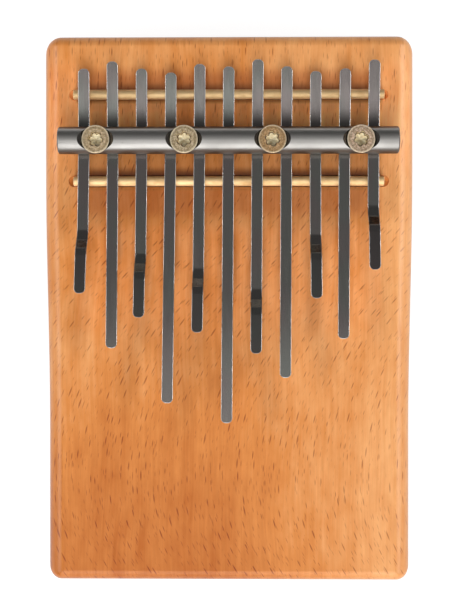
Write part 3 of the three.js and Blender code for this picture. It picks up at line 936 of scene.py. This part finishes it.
def zinc_plate(name, light, dark, rough, sandy, metallic, centre=None):
    """Yellow zinc: a mottled film with a fine grain where it is sandy, brighter where it is smooth.
    The rim of a head, round its centre, is painted bright as a painted highlight, with a dull ring inside it."""
    plate_finish, tree, shader, place = metal(name)
    shader.inputs["Metallic"].default_value = metallic
    mottle = noise_of(tree, place, (0.0007, 0.0007, 0.0007), 3)
    sand = noise_of(tree, place, (0.0003, 0.0003, 0.0003), 3)
    colour = mixed(tree, ramp_of(tree, mottle, 0.35, 0.65), light, dark)
    colour = mixed(tree, ramp_of(tree, sand, 0.44, 0.62, 0, sandy), colour, paint(104, 82, 54))
    if centre:
        across = vector_of(tree, "SUBTRACT", place, (centre.x, centre.y, 0))
        across = vector_of(tree, "MULTIPLY", across, (1, 1, 0))
        out = shader_node(tree, "ShaderNodeVectorMath", {0: across}, operation="LENGTH").outputs["Value"]
        dull = sum_of(
            tree, "MULTIPLY", ramp_of(tree, out, 0.0031, 0.0035, 0, 0.4), ramp_of(tree, out, 0.0035, 0.0039, 1, 0)
        )
        colour = mixed(tree, dull, colour, paint(104, 82, 54))
        # Painted highlight along the rim of the head.
        colour = mixed(tree, ramp_of(tree, out, 0.0038, 0.0041, 0, 0.6), colour, paint(244, 230, 200))
    tree.links.new(colour, shader.inputs["Base Color"])
    tree.links.new(ramp_of(tree, sand, 0.3, 0.7, rough, rough + 0.15), shader.inputs["Roughness"])
    emboss(tree, shader, sandy, 0.00003, sand)
    return plate_finish


# The socket is lined with a paler zinc as a painted highlight on its floor and walls. Its broken mouth and the
# ledge at the foot of its wall get a dark matte finish as painted shade.
socket_finish = zinc_plate("socket_zinc", paint(250, 238, 204), paint(236, 216, 172), 0.38, 0.15, 1)
painted_socket_shade = zinc_plate("painted_shade_in_socket", paint(96, 72, 46), paint(76, 56, 34), 0.5, 0.3, 0)

for number, (screw_node, (turn, light, dark)) in enumerate(zip(screw_nodes, screw_finishes), 1):
    low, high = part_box(screw_node)
    screw = blank_screw.copy()
    screw.data = blank_screw.data.copy()
    screw.name = f"clamp_screw_{number}"
    bpy.context.collection.objects.link(screw)
    edit(screw)
    bpy.ops.mesh.select_all(action="SELECT")
    bpy.ops.transform.translate(value=(low + high) / 2 - screw_middle)
    bpy.ops.transform.rotate(value=math.radians(turn), orient_axis="Z", center_override=(low + high) / 2)
    done()
    axis = (low + high) / 2
    screw.data.materials.append(zinc_plate(f"yellow_zinc_{number}", light, dark, 0.4, 0.6, 0.75, axis))
    screw.data.materials.append(socket_finish)
    screw.data.materials.append(painted_socket_shade)
    edit(screw)
    pick(
        screw,
        "faces",
        lambda face: face.normal.z < 0.999
        and inside_socket(face, axis)
        and all(vert.co.z > high.z - socket_depth - seat_gap for vert in face.verts),
    )
    screw.active_material_index = 1
    bpy.ops.object.material_slot_assign()
    pick(
        screw,
        "faces",
        lambda face: inside_socket(face, axis, socket_radius / 2)
        and 0.1 < face.normal.z < 0.9999
        and face.calc_center_median().z > high.z - socket_depth - seat_gap,
    )
    screw.active_material_index = 2
    bpy.ops.object.material_slot_assign()
    done()
    smooth(screw, 50)
    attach(screw, "sound_box")
    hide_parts(screw_node)
bpy.data.objects.remove(blank_screw)


# Tines: eleven strips of blued spring steel, sheared from one band, their ends rounded and their
# edges broken. The bar bends each one down between the rods. Every second one is cranked up near
# its tip, so that a thumb finds it between its neighbours.
tine_width = 0.0035
tine_end_radius = 0.0014
tine_edge_break = 0.00016
crank_degrees = 41
crank_radius = 0.006
crank_rise = 0.00469
crank_steps = 8
raised_tip_length = 0.0119
tip_lift = math.radians(7)
beam_steps = 6
flex_steps = 5
flex_length = 0.0075
painted_bar_shade_from = 0.0052
painted_bar_shade_to = 0.0110
painted_bar_shade_level = 0.16
beam_linear_share = 1.5
beam_cubic_share = 0.5

front_rod_low, front_rod_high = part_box("front_bridge_rod")
rear_rod_low, rear_rod_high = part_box("rear_bridge_rod")
front_bridge_y = (front_rod_low.y + front_rod_high.y) / 2
rear_bridge_y = (rear_rod_low.y + rear_rod_high.y) / 2
stem_boxes = [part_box(f"tine_{number:02d}_stem") for number in range(1, 12)]
tongue_boxes = [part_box(f"tine_{number:02d}_tongue") for number in range(1, 12)]
thickness = 0.0012
level_at_bar = min(low.z for low, high in stem_boxes) + thickness / 2
level_at_front = front_rod_high.z + seat_gap + thickness / 2
level_at_rear = rear_rod_high.z + seat_gap + thickness / 2
front_span = bar_middle.y - front_bridge_y
rear_span = rear_bridge_y - bar_middle.y
front_slope = math.atan(beam_linear_share * (level_at_front - level_at_bar) / front_span)
rear_slope = math.atan(beam_linear_share * (level_at_rear - level_at_bar) / rear_span)


def beam_point(share, span, sign, level_on_rod):
    """A point of the bent stretch, a share of the way from the bar to a rod, and its slope."""
    inward = 1 - share
    fall = level_on_rod - level_at_bar
    height = level_on_rod - fall * (beam_linear_share * inward - beam_cubic_share * inward ** 3)
    slope = math.atan(fall / span * (beam_linear_share - 3 * beam_cubic_share * inward ** 2))
    return bar_middle.y + sign * share * span, height, -sign * slope


def tine_blank(tail_y, tip_y, raised):
    """A strip along the middle line of a tine, as (place along, height, slope) stations."""
    tail_z = level_at_rear + (tail_y - rear_bridge_y) * math.tan(rear_slope)
    stations = [(tail_y, tail_z, -rear_slope), (rear_bridge_y, level_at_rear, -rear_slope)]
    for step in range(1, beam_steps + 1):
        stations.append(beam_point(1 - step / beam_steps, rear_span, 1, level_at_rear))
    for step in range(1, beam_steps + 1):
        stations.append(beam_point(step / beam_steps, front_span, -1, level_at_front))
    for step in range(1, flex_steps + 1):
        ahead = flex_length * step / flex_steps
        stations.append((front_bridge_y - ahead, level_at_front + ahead * math.tan(front_slope), front_slope))
    y, z, slope = stations[-1]
    if raised:
        turn = math.radians(crank_degrees)
        climb = (crank_rise - 2 * crank_radius * (1 - math.cos(turn))) / math.sin(turn)
        for sign, turned in ((1, turn), (-1, turn - tip_lift)):
            for step in range(crank_steps):
                part = turned / crank_steps
                slope += sign * part / 2
                stride = 2 * crank_radius * math.sin(part / 2)
                y -= stride * math.cos(slope)
                z += stride * math.sin(slope)
                slope += sign * part / 2
                stations.append((y, z, slope))
            if sign > 0:
                y -= climb * math.cos(slope)
                z += climb * math.sin(slope)
                stations.append((y, z, slope))
        y -= raised_tip_length * math.cos(slope)
        z += raised_tip_length * math.sin(slope)
        stations.append((y, z, slope))
    else:
        stations.append((tip_y, z + (y - tip_y) * math.tan(slope), slope))
    return stations


def turn_face(angle, place):
    """Turn what is selected about a line along X."""
    if abs(angle) > 1e-6:
        bpy.ops.transform.rotate(value=angle, orient_axis="X", center_override=place)


def tine_strip(name, stations):
    """Extrude a strip from its tail to its tip, its end face turned square to the line each time."""
    tail_y, tail_z, tail_slope = stations[0]
    bpy.ops.mesh.primitive_plane_add(size=1, location=(0, tail_y, tail_z), rotation=(math.pi / 2, 0, 0))
    strip = bpy.context.object
    strip.name = name
    bpy.ops.object.transform_apply(location=True, rotation=True, scale=True)
    edit(strip)
    bpy.ops.mesh.select_all(action="SELECT")
    bpy.ops.transform.resize(value=(tine_width, 1, thickness), center_override=(0, tail_y, tail_z))
    turn_face(-tail_slope, (0, tail_y, tail_z))
    for (y, z, slope), (next_y, next_z, next_slope) in zip(stations, stations[1:]):
        bpy.ops.mesh.extrude_region_move(TRANSFORM_OT_translate={"value": (0, next_y - y, next_z - z)})
        turn_face(slope - next_slope, (0, next_y, next_z))
    bpy.ops.mesh.select_all(action="SELECT")
    bpy.ops.mesh.normals_make_consistent(inside=False)
    shape = bmesh.from_edit_mesh(strip.data)
    for end in (max, min):
        reach = end(vert.co.y for vert in shape.verts)
        pick(
            strip,
            "edges",
            lambda edge: abs(edge_run(edge).x) < tine_edge_break / 10
            and all(abs(vert.co.y - reach) < thickness for vert in edge.verts)
            and abs(edge_run(edge).z) > thickness / 2,
        )
        bpy.ops.mesh.bevel(offset=tine_end_radius, segments=6, affect="EDGES")
        shape = bmesh.from_edit_mesh(strip.data)
    done()
    return strip


shortest_tail_y = min(high.y for low, high in stem_boxes)
straight_blank = tine_strip("straight_blank", tine_blank(shortest_tail_y, front_bridge_y - 0.02, False))
raised_blank = tine_strip("raised_blank", tine_blank(shortest_tail_y, 0, True))

spring_steel, tree, shader, place = metal("blued_spring_steel")
tint = noise_of(tree, place, (0.012, 0.025, 0.012), 2)
rolled = noise_of(tree, place, (0.0008, 0.012, 0.0008), 2)
colour = mixed(tree, ramp_of(tree, tint, 0.35, 0.65), paint(160, 161, 155), paint(166, 157, 154))
along = shader_node(tree, "ShaderNodeSeparateXYZ", {"Vector": place}).outputs["Y"]
# Painted shade: the tails are darkened next to the bar, but not under it.
painted_bar_shade = ramp_of(tree, along, bar_middle.y + painted_bar_shade_from, bar_middle.y + painted_bar_shade_to, painted_bar_shade_level, 1)
painted_bar_shade = sum_of(tree, "MAXIMUM", painted_bar_shade, ramp_of(tree, along, bar_middle.y, bar_middle.y + seat_gap, 1, 0))
colour = shader_node(tree, "ShaderNodeVectorMath", {0: colour, 3: painted_bar_shade}, operation="SCALE").outputs[0]
tree.links.new(colour, shader.inputs["Base Color"])
tree.links.new(ramp_of(tree, rolled, 0.3, 0.7, 0.12, 0.16), shader.inputs["Roughness"])
emboss(tree, shader, 0.05, 0.000005, rolled)

bare_edge, tree, shader, place = metal("bare_steel_edge")
worn = noise_of(tree, place, (0.002, 0.006, 0.002), 3)
colour = mixed(tree, ramp_of(tree, worn, 0.3, 0.7), paint(208, 206, 203), paint(166, 164, 161))
tree.links.new(colour, shader.inputs["Base Color"])
tree.links.new(ramp_of(tree, worn, 0.3, 0.7, 0.22, 0.34), shader.inputs["Roughness"])

for number, (stem_box, tongue_box) in enumerate(zip(stem_boxes, tongue_boxes), 1):
    tail_y = stem_box[1].y
    tip_y = tongue_box[0].y
    tail_x = stem_box[1].x - tine_width / 2
    tip_x = tongue_box[0].x + tine_width / 2
    lean = math.atan((tail_x - tip_x) / (tail_y - tip_y))
    bar_x = tip_x + (tail_x - tip_x) * (bar_middle.y - tip_y) / (tail_y - tip_y)
    blank = raised_blank if number % 2 else straight_blank
    strip = blank.copy()
    strip.data = blank.data.copy()
    strip.name = f"tine_{number:02d}_strip"
    bpy.context.collection.objects.link(strip)
    edit(strip)
    shape = bmesh.from_edit_mesh(strip.data)
    blank_tail_y = max(vert.co.y for vert in shape.verts)
    blank_tip_y = min(vert.co.y for vert in shape.verts)
    pick(strip, "verts", lambda vert: vert.co.y > rear_bridge_y + tine_end_radius)
    longer = tail_y - blank_tail_y
    bpy.ops.transform.translate(value=(0, longer, longer * math.tan(rear_slope)))
    flex_end_y = front_bridge_y - flex_length
    pick(strip, "verts", lambda vert: vert.co.y < flex_end_y - tine_edge_break)
    longer = blank_tip_y - tip_y
    bpy.ops.transform.translate(value=(0, -longer, longer * math.tan(front_slope)))
    bpy.ops.mesh.select_all(action="SELECT")
    bpy.ops.transform.translate(value=(bar_x, 0, 0))
    bpy.ops.transform.rotate(value=lean, orient_axis="Z", center_override=(bar_x, bar_middle.y, 0))
    done()
    deselect()
    strip.select_set(True)
    bpy.context.view_layer.objects.active = strip
    broken = strip.modifiers.new("broken_edges", "BEVEL")
    broken.width = tine_edge_break
    broken.segments = 3
    broken.limit_method = "ANGLE"
    broken.angle_limit = math.radians(50)
    broken.material = 1
    broken.use_clamp_overlap = False
    strip.data.materials.append(spring_steel)
    strip.data.materials.append(bare_edge)
    bpy.ops.object.modifier_apply(modifier=broken.name)
    smooth(strip, 35)
    stem, tongue = f"tine_{number:02d}_stem", f"tine_{number:02d}_tongue"
    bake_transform(strip)
    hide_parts(stem, tongue)
bpy.data.objects.remove(straight_blank)
bpy.data.objects.remove(raised_blank)
